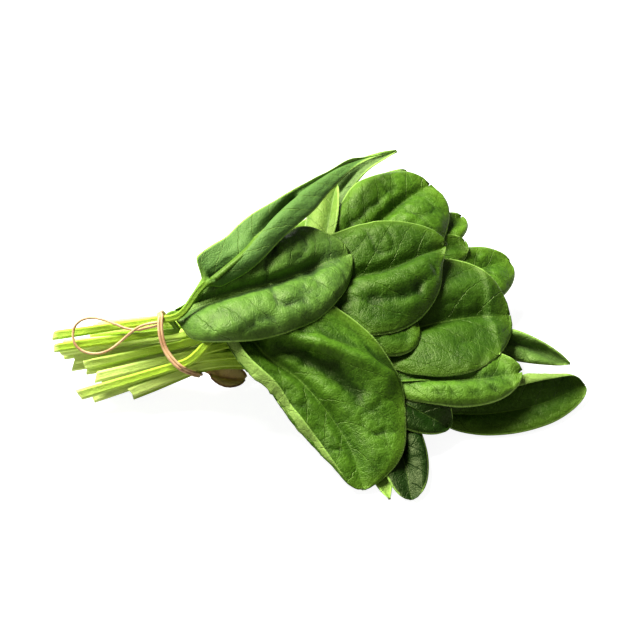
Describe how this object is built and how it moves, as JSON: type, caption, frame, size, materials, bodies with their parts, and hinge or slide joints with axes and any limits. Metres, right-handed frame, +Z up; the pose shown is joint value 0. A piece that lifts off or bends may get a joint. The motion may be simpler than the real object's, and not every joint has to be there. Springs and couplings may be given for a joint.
{
  "type": "spinach bunch",
  "caption": "Bunch of spinach lying on its side: long pale stalks held by a rubber band, and broad green leaves fanned out over each other.",
  "frame": {"origin": "middle of the bunch's footprint, on the plane that it lies on", "axes": "+X from the cut ends of the stalks to the tips of the leaves, -Y towards the side where the leaves are piled facing out, +Z up"},
  "size_m": [0.2791, 0.215, 0.0807],
  "materials": {
    "leaf": "satin, waxy leaf, dark green blade with paler veins and a pale green stalk",
    "leaf_pale": "matt, pale yellow-green leaf",
    "leaf_withered": "matt, brown and dry leaf",
    "rubber": "matt natural rubber, tan"
  },
  "bodies": {
    "root": {"leaf_withered": "leaf_withered", "leaf_floor_front": "leaf", "leaf_floor_right": "leaf", "leaf_floor_middle": "leaf", "leaf_floor_back": "leaf", "leaf_floor_far_back": "leaf", "leaf_tip_front_pale": "leaf_pale", "leaf_front_dark": "leaf", "leaf_far_right_cupped": "leaf", "leaf_far_right_slim": "leaf", "leaf_back_slope_right": "leaf", "leaf_back_slope_left": "leaf", "leaf_low_right_dark": "leaf", "leaf_inner_middle": "leaf", "leaf_right_top": "leaf", "leaf_inner_back": "leaf", "leaf_top_behind": "leaf", "leaf_right_light": "leaf", "leaf_right_shaded": "leaf", "leaf_top_narrow": "leaf", "leaf_top_round": "leaf", "leaf_right_blistered": "leaf", "leaf_right_large": "leaf", "leaf_middle_small": "leaf", "leaf_top_pale_edge": "leaf_pale", "leaf_middle_broad": "leaf", "leaf_front_large": "leaf", "leaf_front_blunt": "leaf", "leaf_top_folded": "leaf", "rubber_band": "rubber", "band_loose_loop": "rubber"}
  },
  "joints": []
}
